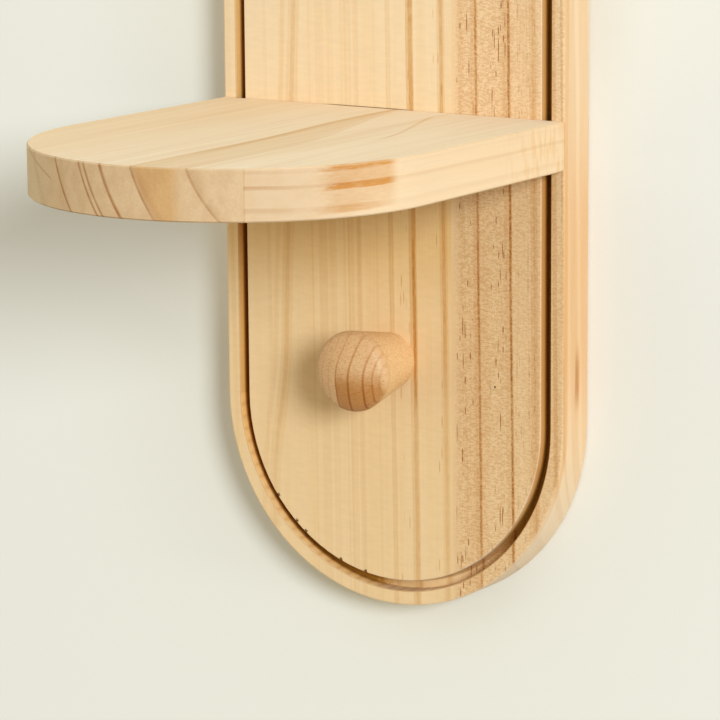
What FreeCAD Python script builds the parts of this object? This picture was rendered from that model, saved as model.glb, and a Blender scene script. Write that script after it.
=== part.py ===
# Altar shelf for a wall: a round-ended pine backboard with a narrow groove inside its edge,
# a round-nosed shelf butted on its front and a turned peg below the shelf.
# Millimetres, with X to the viewer's right, Y towards the wall and Z up.
# The origin is the middle of the backboard's back face, which lies on the wall.
import FreeCAD, Part
import math
import os
import Sketcher
from types import SimpleNamespace

# Driving dimensions: name, value, what it sets
SIZES = [
    ("board_width", 150.0, "backboard and shelf, side to side"),
    ("board_height", 450.0, "backboard, end to end"),
    ("board_thickness", 18.0, "backboard, front to back"),
    ("board_glue_line", 27.0, "from the middle of the backboard to its glue line"),
    ("rim_width", 5.6, "flat rim outside the groove"),
    ("groove_width", 4.0, "routed groove, across"),
    ("groove_depth", 6.0, "routed groove, below the front face"),
    ("groove_bevel", 0.3, "bevel on the groove's two edges"),
    ("board_bevel", 0.4, "bevel on the backboard's outer edges"),
    ("shelf_top_height", 190.0, "from the backboard's lowest point to the shelf's top"),
    ("shelf_depth", 170.0, "shelf, from the backboard to its nose"),
    ("shelf_thickness", 18.0, "shelf, top to bottom"),
    ("shelf_glue_line", 43.4, "from the middle of the shelf to its glue line"),
    ("shelf_bevel", 0.5, "bevel on the shelf's edges"),
    ("peg_height", 95.0, "from the backboard's lowest point to the peg's axis"),
    ("peg_foot_diameter", 21.0, "peg where it meets the backboard"),
    ("peg_head_diameter", 31.2, "peg where its cone would meet its dome"),
    ("peg_cone_length", 27.4, "peg from the backboard to that corner"),
    ("peg_dome_rise", 5.0, "dome beyond that corner"),
    ("peg_head_rounding", 4.0, "rounding of that corner"),
    ("peg_tenon_diameter", 10.0, "round tenon behind the peg"),
    ("peg_tenon_length", 12.0, "tenon inside the backboard"),
    ("dowel_spacing", 116.0, "between the two shelf dowels"),
    ("dowel_diameter", 8.0, "shelf dowel"),
    ("dowel_in_board", 11.0, "dowel length inside the backboard"),
    ("dowel_in_shelf", 19.0, "dowel length inside the shelf"),
    ("dowel_bevel", 0.8, "bevel on the dowel's ends"),
    ("screw_spacing", 72.0, "between the two shelf screws"),
    ("screw_head_diameter", 8.6, "shelf screw's countersunk head"),
    ("screw_shank_diameter", 4.5, "shelf screw's shank"),
    ("screw_length", 45.0, "shelf screw, from head to tip"),
    ("screw_point_length", 5.0, "shelf screw's point"),
    ("screw_recess_depth", 1.8, "cross recess in the shelf screw's head"),
    ("screw_recess_span", 4.6, "that recess, tip to tip"),
    ("screw_recess_slot", 1.0, "that recess, slot width"),
    ("hanger_spacing", 90.0, "between the two keyhole plates"),
    ("hanger_height", 355.0, "from the backboard's lowest point to the plates' middle"),
    ("plate_length", 44.0, "keyhole plate, end to end"),
    ("plate_width", 16.0, "keyhole plate, side to side"),
    ("plate_thickness", 1.6, "keyhole plate"),
    ("plate_set_back", 0.3, "plate's face below the backboard's back face"),
    ("keyhole_entry_diameter", 9.0, "round entry for the wall screw's head"),
    ("keyhole_entry_drop", 3.5, "entry's centre below the plate's middle"),
    ("keyhole_slot_width", 4.5, "slot for the wall screw's shank"),
    ("keyhole_slot_rise", 6.0, "slot's end centre above the plate's middle"),
    ("head_pocket_room", 1.25, "wood cut away past the entry for the wall screw's head"),
    ("head_pocket_depth", 9.0, "pocket for that head, below the back face"),
    ("plate_screw_spacing", 34.0, "between the two screws of one plate"),
    ("plate_screw_head_diameter", 6.2, "plate screw's countersunk head"),
    ("plate_screw_shank_diameter", 3.4, "plate screw's shank"),
    ("plate_screw_length", 12.0, "plate screw, from head to tip"),
    ("plate_screw_point_length", 3.0, "plate screw's point"),
    ("plate_screw_recess_depth", 1.2, "cross recess in the plate screw's head"),
    ("plate_screw_recess_span", 3.4, "that recess, tip to tip"),
    ("plate_screw_recess_slot", 0.8, "that recess, slot width"),
    ("bore_clearance", 0.1, "room round dowels, tenon and screws, on the radius"),
    ("bore_end_room", 0.5, "room past the end of a dowel, tenon or screw"),
    ("plate_clearance", 0.2, "room round a keyhole plate in its recess"),
]

doc = FreeCAD.newDocument("altar_shelf")
sheet = doc.addObject("Spreadsheet::Sheet", "sizes")
for row, (alias, value, meaning) in enumerate(SIZES, start=1):
    sheet.set(f"A{row}", alias)
    sheet.set(f"B{row}", str(value))
    sheet.setAlias(f"B{row}", alias)
    sheet.set(f"C{row}", meaning)
doc.recompute()


class Length:
    """Length that keeps its value together with the formula over the sheet that gives it."""

    def __init__(self, value, formula):
        self.value = value
        self.formula = formula

    def __add__(self, other):
        return Length(self.value + other.value, f"({self.formula} + {other.formula})")

    def __sub__(self, other):
        return Length(self.value - other.value, f"({self.formula} - {other.formula})")

    def __mul__(self, factor):
        return Length(self.value * factor, f"({self.formula} * {factor})")

    def __truediv__(self, factor):
        return Length(self.value / factor, f"({self.formula} / {factor})")

    def __neg__(self):
        return Length(-self.value, f"(-{self.formula})")


ZERO = Length(0.0, "0")
size = SimpleNamespace(**{alias: Length(float(sheet.get(alias)), f"sizes.{alias}") for alias, _, _ in SIZES})

# Places worked out from the driving dimensions
half_width = size.board_width / 2
end_centre = size.board_height / 2 - half_width
shelf_underside = size.shelf_top_height - size.shelf_thickness - size.board_height / 2
shelf_middle = shelf_underside + size.shelf_thickness / 2
peg_axis = size.peg_height - size.board_height / 2
hanger_middle = size.hanger_height - size.board_height / 2
plate_end = size.plate_length / 2 - size.plate_width / 2
UPRIGHT = FreeCAD.Vector(0, 0, 1)


def both_sides(spacing):
    """Side names with the places half a spacing left and right of the middle."""
    return {"left": -(spacing / 2), "right": spacing / 2}


def new_body(label, x=ZERO, y=ZERO, z=ZERO):
    """Body with a frame of its own at a place on the object."""
    body = doc.addObject("PartDesign::Body", label)
    body.Label = label
    for axis, place in zip("xyz", (x, y, z)):
        body.setExpression(f"Placement.Base.{axis}", place.formula)
    return body


def new_sketch(body, plane, x=ZERO, y=ZERO, z=ZERO):
    """Sketch on one of the body's planes, with its origin shifted in the sketch's own frame."""
    sketch = body.newObject("Sketcher::SketchObject", "Outline")
    support = next(feature for feature in body.Origin.OriginFeatures if feature.Role == plane)
    sketch.AttachmentSupport = [(support, "")]
    sketch.MapMode = "FlatFace"
    for axis, place in zip("xyz", (x, y, z)):
        sketch.setExpression(f"AttachmentOffset.Base.{axis}", place.formula)
    return sketch


def at(x, y):
    return FreeCAD.Vector(x.value, y.value, 0)


def dimension(sketch, kind, places, length):
    index = sketch.addConstraint(Sketcher.Constraint(kind, *places, length.value))
    name = f"size_{index}"
    sketch.renameConstraint(index, name)
    sketch.setExpression(f"Constraints.{name}", length.formula)


def fix_point(sketch, geometry, end, x, y):
    """Hold one point at its distances from the sketch's origin."""
    for kind, place, axis in (("DistanceX", x, -2), ("DistanceY", y, -1)):
        if place.value == 0:
            sketch.addConstraint(Sketcher.Constraint("PointOnObject", geometry, end, axis))
        elif place.value > 0:
            dimension(sketch, kind, (-1, 1, geometry, end), place)
        else:
            dimension(sketch, kind, (geometry, end, -1, 1), -place)


def draw_path(sketch, corners):
    """Straight lines from corner to corner, left open at the end."""
    lines = []
    for start, stop in zip(corners, corners[1:]):
        line = sketch.addGeometry(Part.LineSegment(at(*start), at(*stop)))
        if lines:
            sketch.addConstraint(Sketcher.Constraint("Coincident", lines[-1], 2, line, 1))
        fix_point(sketch, line, 1, *start)
        lines.append(line)
    return lines


def draw_polygon(sketch, corners):
    lines = draw_path(sketch, corners + corners[:1])
    sketch.addConstraint(Sketcher.Constraint("Coincident", lines[-1], 2, lines[0], 1))


def draw_half_circle(sketch, radius, centre_y, start):
    circle = Part.Circle(at(ZERO, centre_y), UPRIGHT, radius.value)
    arc = sketch.addGeometry(Part.ArcOfCircle(circle, start, start + math.pi))
    fix_point(sketch, arc, 3, ZERO, centre_y)
    return arc


def draw_stadium(sketch, radius, low, high):
    """Upright outline of two straight sides and two half circles, centred at low and high."""
    right = sketch.addGeometry(Part.LineSegment(at(radius, low), at(radius, high)))
    upper = draw_half_circle(sketch, radius, high, 0)
    left = sketch.addGeometry(Part.LineSegment(at(-radius, high), at(-radius, low)))
    lower = draw_half_circle(sketch, radius, low, math.pi)
    for one, other in ((right, upper), (upper, left), (left, lower), (lower, right)):
        sketch.addConstraint(Sketcher.Constraint("Tangent", one, 2, other, 1))
    sketch.addConstraint(Sketcher.Constraint("Vertical", right))
    dimension(sketch, "Radius", (upper,), radius)


def draw_nose(sketch, radius, depth):
    """Straight back and sides, with a half circle in front."""
    nose_centre = radius - depth
    back = sketch.addGeometry(Part.LineSegment(at(-radius, ZERO), at(radius, ZERO)))
    right = sketch.addGeometry(Part.LineSegment(at(radius, ZERO), at(radius, nose_centre)))
    front = draw_half_circle(sketch, radius, nose_centre, math.pi)
    left = sketch.addGeometry(Part.LineSegment(at(-radius, nose_centre), at(-radius, ZERO)))
    sketch.addConstraint(Sketcher.Constraint("Coincident", back, 2, right, 1))
    sketch.addConstraint(Sketcher.Constraint("Tangent", right, 2, front, 2))
    sketch.addConstraint(Sketcher.Constraint("Tangent", front, 1, left, 1))
    sketch.addConstraint(Sketcher.Constraint("Coincident", left, 2, back, 1))
    sketch.addConstraint(Sketcher.Constraint("Vertical", right))
    dimension(sketch, "Radius", (front,), radius)
    for end in (1, 2):
        sketch.addConstraint(Sketcher.Constraint("PointOnObject", back, end, -1))


def draw_circle(sketch, diameter, x=ZERO, y=ZERO):
    circle = sketch.addGeometry(Part.Circle(at(x, y), UPRIGHT, diameter.value / 2))
    fix_point(sketch, circle, 3, x, y)
    dimension(sketch, "Diameter", (circle,), diameter)


def pad(body, sketch, length):
    feature = body.newObject("PartDesign::Pad", "Pad")
    feature.Profile = sketch
    feature.setExpression("Length", length.formula)
    doc.recompute()


def pocket(body, sketch, depth, along_normal=False):
    """Cut a sketch into the body, and stop if that took nothing away."""
    before = body.Tip.Shape.Volume
    feature = body.newObject("PartDesign::Pocket", "Pocket")
    feature.Profile = sketch
    feature.Reversed = along_normal
    feature.setExpression("Length", depth.formula)
    doc.recompute()
    if feature.Shape.Volume >= before:
        raise RuntimeError(f"{body.Label}: a pocket cut nothing")


def spin(body, sketch, kind):
    """Turn a half outline about the sketch's upright axis, to add or to cut."""
    feature = body.newObject(kind, "Turning")
    feature.Profile = sketch
    feature.ReferenceAxis = (sketch, ["V_Axis"])
    feature.Angle = 360
    doc.recompute()


def ease_edges(body, chosen, kind, measure, amount):
    """Round or bevel the edges of the body that a test picks."""
    base = body.Tip
    names = [f"Edge{i}" for i, edge in enumerate(base.Shape.Edges, start=1) if chosen(edge)]
    feature = body.newObject(kind, "Easing")
    feature.Base = (base, names)
    feature.setExpression(measure, amount.formula)
    doc.recompute()


def round_edges(body, chosen, radius):
    ease_edges(body, chosen, "PartDesign::Fillet", "Radius", radius)


def bevel_edges(body, chosen, width):
    ease_edges(body, chosen, "PartDesign::Chamfer", "Size", width)


def lies_at(edge, axis, place):
    """True where the whole edge lies at one place along an axis."""
    slack = 1e-4
    ends = (getattr(edge.BoundBox, axis + "Min"), getattr(edge.BoundBox, axis + "Max"))
    return all(abs(end - place.value) < slack for end in ends)


def screw_sizes(name):
    """Head, shank, length and point of one kind of screw."""
    names = ("head_diameter", "shank_diameter", "length", "point_length")
    return [getattr(size, f"{name}_{part}") for part in names]


def screw_outline(name, clearance=ZERO, end_room=ZERO):
    """Half outline of a countersunk screw, or of its hole, with the head's face at the origin."""
    head, shank, length, point = screw_sizes(name)
    shank_radius = shank / 2 + clearance
    return [
        (ZERO, ZERO),
        (head / 2 + clearance, ZERO),
        (shank_radius, shank / 2 - head / 2),
        (shank_radius, point - length - end_room),
        (ZERO, -length - end_room),
    ]


def cut_screw_hole(body, name, x, y, z):
    """Countersunk hole for a screw that runs forwards from the back."""
    sketch = new_sketch(body, "XY_Plane", x, y, z)
    draw_polygon(sketch, screw_outline(name, size.bore_clearance, size.bore_end_room))
    spin(body, sketch, "PartDesign::Groove")


def cut_bore(body, diameter, depth, x, y, z=ZERO, along_normal=False):
    """Blind round bore with room for the pin that goes in it."""
    sketch = new_sketch(body, "XZ_Plane", x, y, z)
    draw_circle(sketch, diameter + size.bore_clearance * 2)
    pocket(body, sketch, depth + size.bore_end_room, along_normal)


def cut_hanger_recess(body, x):
    """Recess for a keyhole plate, the pocket behind its keyhole and its screw holes."""
    recess = new_sketch(body, "XZ_Plane", x, hanger_middle)
    draw_stadium(recess, size.plate_width / 2 + size.plate_clearance, -plate_end, plate_end)
    pocket(body, recess, size.plate_set_back + size.plate_thickness, along_normal=True)
    head_pocket = new_sketch(body, "XZ_Plane", x, hanger_middle)
    pocket_radius = size.keyhole_entry_diameter / 2 + size.head_pocket_room
    draw_stadium(head_pocket, pocket_radius, -size.keyhole_entry_drop, size.keyhole_slot_rise)
    pocket(body, head_pocket, size.head_pocket_depth, along_normal=True)
    for step in both_sides(size.plate_screw_spacing).values():
        cut_screw_hole(body, "plate_screw", x, -size.plate_set_back, hanger_middle + step)


def keep_stave(body, plane, side, glue_line, far, thickness):
    """Saw a glued-up blank at its glue line and keep one side of it."""
    waste = far if side == "left" else -far
    sketch = new_sketch(body, plane)
    draw_polygon(sketch, [(glue_line, -far), (waste, -far), (waste, far), (glue_line, far)])
    pocket(body, sketch, thickness, along_normal=True)


def backboard_stave(side):
    """Half of the backboard: outline, groove, bores for shelf and peg, and hanger recesses."""
    body = new_body(f"backboard_{side}_stave")
    front = size.board_thickness
    outline = new_sketch(body, "XZ_Plane")
    draw_stadium(outline, half_width, -end_centre, end_centre)
    pad(body, outline, front)
    bevel_edges(body, lambda edge: lies_at(edge, "Y", -front) or lies_at(edge, "Y", ZERO), size.board_bevel)

    groove = new_sketch(body, "XZ_Plane", z=front)
    groove_outside = half_width - size.rim_width
    draw_stadium(groove, groove_outside, -end_centre, end_centre)
    draw_stadium(groove, groove_outside - size.groove_width, -end_centre, end_centre)
    pocket(body, groove, size.groove_depth)
    groove_reach = (groove_outside + size.groove_bevel).value
    bevel_edges(body, lambda edge: lies_at(edge, "Y", -front) and edge.BoundBox.XMax < groove_reach,
                size.groove_bevel)

    cut_bore(body, size.peg_tenon_diameter, size.peg_tenon_length, ZERO, peg_axis, front)
    for x in both_sides(size.dowel_spacing).values():
        cut_bore(body, size.dowel_diameter, size.dowel_in_board, x, shelf_middle, front)
    for x in both_sides(size.screw_spacing).values():
        cut_screw_hole(body, "screw", x, ZERO, shelf_middle)
    for x in both_sides(size.hanger_spacing).values():
        cut_hanger_recess(body, x)
    keep_stave(body, "XZ_Plane", side, size.board_glue_line, size.board_height, front)
    return body


def shelf_stave(side):
    """Half of the shelf: a half-round nose, and bores in the back edge for dowels and screws."""
    body = new_body(f"shelf_{side}_stave", y=-size.board_thickness, z=shelf_underside)
    top = size.shelf_thickness
    middle = top / 2
    outline = new_sketch(body, "XY_Plane")
    draw_nose(outline, half_width, size.shelf_depth)
    pad(body, outline, top)
    bevel_edges(body, lambda edge: (lies_at(edge, "Z", ZERO) or lies_at(edge, "Z", top))
                and not lies_at(edge, "Y", ZERO), size.shelf_bevel)
    for x in both_sides(size.dowel_spacing).values():
        cut_bore(body, size.dowel_diameter, size.dowel_in_shelf, x, middle, along_normal=True)
    for x in both_sides(size.screw_spacing).values():
        cut_screw_hole(body, "screw", x, size.board_thickness, middle)
    keep_stave(body, "XY_Plane", side, size.shelf_glue_line, size.board_width + size.shelf_depth, top)
    return body


def hanging_peg():
    """Turned peg: a tenon, a cone that widens to the front and a domed head."""
    body = new_body("hanging_peg", y=-size.board_thickness, z=peg_axis)
    sketch = new_sketch(body, "XY_Plane")
    tenon = size.peg_tenon_diameter / 2
    corner = -size.peg_cone_length
    tip = corner - size.peg_dome_rise
    head = size.peg_head_diameter / 2
    path = [(ZERO, tip), (ZERO, size.peg_tenon_length), (tenon, size.peg_tenon_length), (tenon, ZERO),
            (size.peg_foot_diameter / 2, ZERO), (head, corner)]
    lines = draw_path(sketch, path)
    fix_point(sketch, lines[-1], 2, head, corner)
    rise = size.peg_dome_rise.value
    ball = (head.value ** 2 + rise ** 2) / (2 * rise)
    half_turn = math.asin(head.value / ball) / 2
    halfway = FreeCAD.Vector(ball * math.sin(half_turn), tip.value + ball * (1 - math.cos(half_turn)), 0)
    dome = sketch.addGeometry(Part.Arc(at(ZERO, tip), halfway, at(head, corner)))
    sketch.addConstraint(Sketcher.Constraint("Coincident", dome, 1, lines[0], 1))
    sketch.addConstraint(Sketcher.Constraint("Coincident", dome, 2, lines[-1], 2))
    sketch.addConstraint(Sketcher.Constraint("PointOnObject", dome, 3, -2))
    spin(body, sketch, "PartDesign::Revolution")
    round_edges(body, lambda edge: lies_at(edge, "Y", corner), size.peg_head_rounding)
    return body


def keyhole_plate(side, x):
    """Round-ended steel plate with a keyhole and two countersunk holes."""
    body = new_body(f"{side}_keyhole_plate", x, -size.plate_set_back, hanger_middle)
    outline = new_sketch(body, "XZ_Plane")
    draw_stadium(outline, size.plate_width / 2, -plate_end, plate_end)
    pad(body, outline, size.plate_thickness)
    entry = new_sketch(body, "XZ_Plane")
    draw_circle(entry, size.keyhole_entry_diameter, y=-size.keyhole_entry_drop)
    pocket(body, entry, size.plate_thickness, along_normal=True)
    slot = new_sketch(body, "XZ_Plane")
    draw_stadium(slot, size.keyhole_slot_width / 2, -size.keyhole_entry_drop, size.keyhole_slot_rise)
    pocket(body, slot, size.plate_thickness, along_normal=True)
    for step in both_sides(size.plate_screw_spacing).values():
        cut_screw_hole(body, "plate_screw", ZERO, ZERO, step)
    return body


def countersunk_screw(label, name, x, y, z):
    """Countersunk screw that runs forwards, with a cross recess in its head."""
    body = new_body(label, x, y, z)
    shank = new_sketch(body, "XY_Plane")
    draw_polygon(shank, screw_outline(name))
    spin(body, shank, "PartDesign::Revolution")
    reach = getattr(size, f"{name}_recess_span") / 2
    slot = getattr(size, f"{name}_recess_slot") / 2
    cross = new_sketch(body, "XZ_Plane")
    draw_polygon(cross, [
        (-slot, -slot), (-slot, -reach), (slot, -reach), (slot, -slot), (reach, -slot), (reach, slot),
        (slot, slot), (slot, reach), (-slot, reach), (-slot, slot), (-reach, slot), (-reach, -slot),
    ])
    pocket(body, cross, getattr(size, f"{name}_recess_depth"), along_normal=True)
    return body


def shelf_dowel(label, x):
    """Round dowel with bevelled ends, part in the backboard and part in the shelf."""
    body = new_body(label, x, -size.board_thickness, shelf_middle)
    sketch = new_sketch(body, "XY_Plane")
    radius = size.dowel_diameter / 2
    end = radius - size.dowel_bevel
    near = size.dowel_in_board
    far = -size.dowel_in_shelf
    draw_polygon(sketch, [(ZERO, near), (end, near), (radius, near - size.dowel_bevel),
                          (radius, far + size.dowel_bevel), (end, far), (ZERO, far)])
    spin(body, sketch, "PartDesign::Revolution")
    return body


def group(label, members):
    """One node that holds like pieces as separate solids."""
    compound = doc.addObject("Part::Compound", label)
    compound.Label = label
    compound.Links = members
    return compound


def build():
    pieces = [backboard_stave(side) for side in ("left", "right")]
    pieces += [shelf_stave(side) for side in ("left", "right")]
    pieces.append(hanging_peg())
    dowels = [shelf_dowel(f"{side}_dowel", x) for side, x in both_sides(size.dowel_spacing).items()]
    pieces.append(group("shelf_dowels", dowels))
    screws = [countersunk_screw(f"{side}_screw", "screw", x, ZERO, shelf_middle)
              for side, x in both_sides(size.screw_spacing).items()]
    pieces.append(group("shelf_screws", screws))
    hangers = both_sides(size.hanger_spacing)
    pieces += [keyhole_plate(side, x) for side, x in hangers.items()]
    plate_screws = [
        countersunk_screw(f"{side}_plate_screw", "plate_screw", x, -size.plate_set_back, hanger_middle + step)
        for side, x in hangers.items()
        for step in both_sides(size.plate_screw_spacing).values()
    ]
    pieces.append(group("keyhole_plate_screws", plate_screws))
    doc.recompute()
    return pieces


def check(pieces):
    """Stop unless every feature is sound and every piece has a sound shape."""
    for item in doc.Objects:
        faults = [state for state in item.State if state in ("Invalid", "Error")]
        if faults:
            raise RuntimeError(f"{item.Name}: {faults}")
    for piece in pieces:
        if piece.Shape.isNull() or not piece.Shape.isValid():
            raise RuntimeError(f"{piece.Label}: no sound shape")


def write(pieces):
    os.makedirs("parts", exist_ok=True)
    for piece in pieces:
        piece.Shape.exportStep(f"parts/{piece.Label}.step")
        print(f"{piece.Label}: {len(piece.Shape.Solids)} solids, {piece.Shape.Volume:.1f} mm3")


altar_shelf = build()
check(altar_shelf)
write(altar_shelf)
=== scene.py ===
# Looks of a wall-hung altar shelf: bare pine staves, a turned beech peg and zinc-plated hangers.
# Metres in the object's frame: X to the viewer's right, Y towards the wall, Z up.
# Materials are worked out in millimetres of the same frame, so their grain runs through the wood.
import math
import bmesh
import bpy
from mathutils import Matrix, Vector


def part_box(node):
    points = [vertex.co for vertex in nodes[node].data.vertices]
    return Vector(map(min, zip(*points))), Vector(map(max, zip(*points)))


MM = 0.001
MM_PER_M = 1000.0

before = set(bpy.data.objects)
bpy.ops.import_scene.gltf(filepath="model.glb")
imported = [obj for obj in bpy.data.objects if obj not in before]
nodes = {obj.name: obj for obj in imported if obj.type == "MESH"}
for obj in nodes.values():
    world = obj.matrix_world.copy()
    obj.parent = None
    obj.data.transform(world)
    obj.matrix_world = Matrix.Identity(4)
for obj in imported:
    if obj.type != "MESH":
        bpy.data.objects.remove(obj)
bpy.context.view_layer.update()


def in_mm(node):
    """Lowest and highest corner of a CAD node, in millimetres."""
    return [corner * MM_PER_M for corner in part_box(node)]


# Places on the object, in millimetres
board_low, board_high = in_mm("backboard_left_stave")
shelf_low, shelf_high = in_mm("shelf_left_stave")
peg_low, peg_high = in_mm("hanging_peg")
BOARD_FRONT = board_low.y
HALF_WIDTH = -board_low.x
END_CENTRE = board_high.z - HALF_WIDTH
SHELF_TOP = shelf_high.z
SHELF_UNDERSIDE = shelf_low.z
SHELF_NOSE = shelf_low.y
SHELF_JOINT = shelf_high.x
PEG_AXIS = (peg_low.z + peg_high.z) / 2
PEG_CONE_END = -41.5
# Edges of the groove, as distances from the line between the centres of the board's round ends
GROOVE_INNER, GROOVE_OUTER = 65.4, 69.4

# Camera at the photograph's viewing angle
CAMERA_PLACE = Vector((699.66, -1104.24, 127.56)) * MM
CAMERA_YAW = math.radians(33.299)
CAMERA_PITCH = math.radians(11.274)
CAMERA_ROLL = math.radians(0.433)
CAMERA_LENS = 174.85
SENSOR = 36.0

# Stage and light
WALL_GAP = 0.2 * MM
WALL_REACH = 1.6
WALL_OVERLAP = 0.5
WALL_HOLE_STEPS = 48
KEY_DIRECTION = Vector((0.746, -0.627, 0.268)).normalized()
KEY_DISTANCE = 6.0
KEY_SIZE = 1.72
KEY_POWER = 320.0
KEY_COLOUR = (0.826, 0.905, 1.0)
SKY_TOP = (0.68, 0.78, 0.98, 1)
SKY_RIGHT = (0.50, 0.465, 0.385, 1)
SKY_LEFT = (0.93, 0.82, 0.545, 1)
SKY_FLOOR = (0.15, 0.13, 0.095, 1)
SKY_SEEN = (0.85, 0.84, 0.82, 1)
# Where the sky changes, in parts of a unit direction: from, to
SKY_LEFT_TO_RIGHT = (-0.4, 0.4)
SKY_SIDE_TO_TOP = (0.25, 0.75)
SKY_FLOOR_TO_SIDE = (-0.5, -0.1)

# Sockets of the mix node that carry colours
MIX_FIRST, MIX_SECOND, MIX_RESULT = 6, 7, 2
# Shares of a noise's shift that go to Y and Z
SHIFT_Y, SHIFT_Z = 0.37, 0.71
# Share of a mark's size that is solid, and how sharply cells with a mark are told from those without
MARK_CORE = 0.6
MARK_CHANCE_STEP = 0.01


class Nodes:
    """Node tree with short names for the nodes used here."""

    def __init__(self, tree):
        self.tree = tree

    def node(self, kind, **settings):
        made = self.tree.nodes.new(kind)
        for name, value in settings.items():
            setattr(made, name, value)
        return made

    def feed(self, socket, value):
        """Link a socket to another, or set it to a value."""
        if isinstance(value, bpy.types.NodeSocket):
            self.tree.links.new(value, socket)
        else:
            socket.default_value = value

    def math(self, operation, *values):
        made = self.node("ShaderNodeMath", operation=operation)
        for socket, value in zip(made.inputs, values):
            self.feed(socket, value)
        return made.outputs[0]

    def add(self, *values):
        total = values[0]
        for value in values[1:]:
            total = self.math("ADD", total, value)
        return total

    def times(self, *values):
        total = values[0]
        for value in values[1:]:
            total = self.math("MULTIPLY", total, value)
        return total

    def most(self, *values):
        total = values[0]
        for value in values[1:]:
            total = self.math("MAXIMUM", total, value)
        return total

    def minus(self, value, taken):
        return self.math("SUBTRACT", value, taken)

    def distance(self, first, second):
        """Straight distance, from its parts along two axes."""
        return self.math("SQRT", self.add(self.times(first, first), self.times(second, second)))

    def vector(self, operation, *values, scale=None):
        made = self.node("ShaderNodeVectorMath", operation=operation)
        for socket, value in zip(made.inputs, values):
            self.feed(socket, value)
        if scale is not None:
            self.feed(made.inputs["Scale"], scale)
        return made.outputs[0]

    def split(self, vector):
        made = self.node("ShaderNodeSeparateXYZ")
        self.feed(made.inputs[0], vector)
        return made.outputs

    def fade(self, value, start, stop, low=0.0, high=1.0):
        """Smooth change from low at start to high at stop, level beyond them."""
        made = self.node("ShaderNodeMapRange", interpolation_type="SMOOTHSTEP")
        for name, setting in (("Value", value), ("From Min", start), ("From Max", stop),
                              ("To Min", low), ("To Max", high)):
            self.feed(made.inputs[name], setting)
        return made.outputs["Result"]

    def band(self, value, low, high, before, after=None, strength=1.0):
        """Strength between low and high, fading out before and after."""
        after = before if after is None else after
        rise = self.fade(value, low - before, low, 0.0, strength)
        return self.math("MINIMUM", rise, self.fade(value, high, high + after, strength, 0.0))

    def bands(self, value, rows):
        return self.most(*[self.band(value, *row) for row in rows])

    def mix(self, share, first, second, blend="MIX"):
        made = self.node("ShaderNodeMix", data_type="RGBA", blend_type=blend)
        self.feed(made.inputs[0], share)
        self.feed(made.inputs[MIX_FIRST], first)
        self.feed(made.inputs[MIX_SECOND], second)
        return made.outputs[MIX_RESULT]

    def tint(self, colour, share, filter_colour):
        """Colour seen through a filter, by a share."""
        return self.mix(share, colour, filter_colour, blend="MULTIPLY")


class Finish(Nodes):
    """Material made of nodes, with its places and sizes in millimetres."""

    def __init__(self, name, specular):
        self.material = bpy.data.materials.new(name)
        self.material.use_nodes = True
        super().__init__(self.material.node_tree)
        self.surface = self.tree.nodes["Principled BSDF"]
        self.surface.inputs["Specular IOR Level"].default_value = specular
        coordinates = self.node("ShaderNodeTexCoord")
        self.place = self.vector("SCALE", coordinates.outputs["Object"], scale=MM_PER_M)
        self.x, self.y, self.z = self.split(self.place)
        self.facing_x, self.facing_y, self.facing_z = self.split(coordinates.outputs["Normal"])

    def stretched(self, lengths, shift):
        """Place counted in lengths along X, Y and Z, moved by a shift."""
        counted = self.vector("MULTIPLY", self.place, [1 / length for length in lengths])
        return self.vector("ADD", counted, (shift, shift * SHIFT_Y, shift * SHIFT_Z))

    def noise(self, lengths, detail=2.0, roughness=0.5, shift=0.0):
        """Noise whose features are about so long along X, Y and Z."""
        made = self.node("ShaderNodeTexNoise")
        for name, setting in (("Vector", self.stretched(lengths, shift)), ("Scale", 1.0),
                              ("Detail", detail), ("Roughness", roughness)):
            self.feed(made.inputs[name], setting)
        return made.outputs["Fac"]

    def marks(self, lengths, share, size=0.27, shift=0.0):
        """Scattered oval marks in a share of the cells, whose sides are so long along X, Y and Z."""
        cells = self.node("ShaderNodeTexVoronoi")
        self.feed(cells.inputs["Vector"], self.stretched(lengths, shift))
        self.feed(cells.inputs["Scale"], 1.0)
        chance = self.split(cells.outputs["Color"])[0]
        shape = self.fade(cells.outputs["Distance"], size * MARK_CORE, size, 1.0, 0.0)
        return self.times(shape, self.fade(chance, 1 - share - MARK_CHANCE_STEP, 1 - share))

    def spot(self, x, z, reach, soft, ragged=0.0):
        """Round spot on the front: one up to its reach, fading out beyond it."""
        apart = self.distance(self.minus(self.x, x), self.minus(self.z, z))
        return self.fade(self.add(apart, ragged), reach, reach + soft, 1.0, 0.0)

    def from_board_middle(self):
        """Distance from the upright line between the centres of the backboard's round ends."""
        past_straight = self.most(self.minus(self.math("ABSOLUTE", self.z), END_CENTRE), 0.0)
        return self.distance(self.x, past_straight)

    def swing(self, noise, amount):
        """Noise turned into a swing of about plus or minus an amount."""
        return self.math("MULTIPLY_ADD", noise, 2 * amount, -amount)

    def shade(self, colour, *swings):
        """Colour made lighter and darker by swings."""
        return self.vector("SCALE", colour, scale=self.add(1.0, *swings))

    def finish(self, colour, height, roughness):
        """Send colour, height in millimetres and roughness to the surface."""
        self.feed(self.surface.inputs["Base Color"], colour)
        self.feed(self.surface.inputs["Roughness"], roughness)
        bump = self.node("ShaderNodeBump")
        bump.inputs["Strength"].default_value = 1.0
        bump.inputs["Distance"].default_value = MM
        self.feed(bump.inputs["Height"], height)
        self.feed(self.surface.inputs["Normal"], bump.outputs["Normal"])
        return self.material


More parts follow.
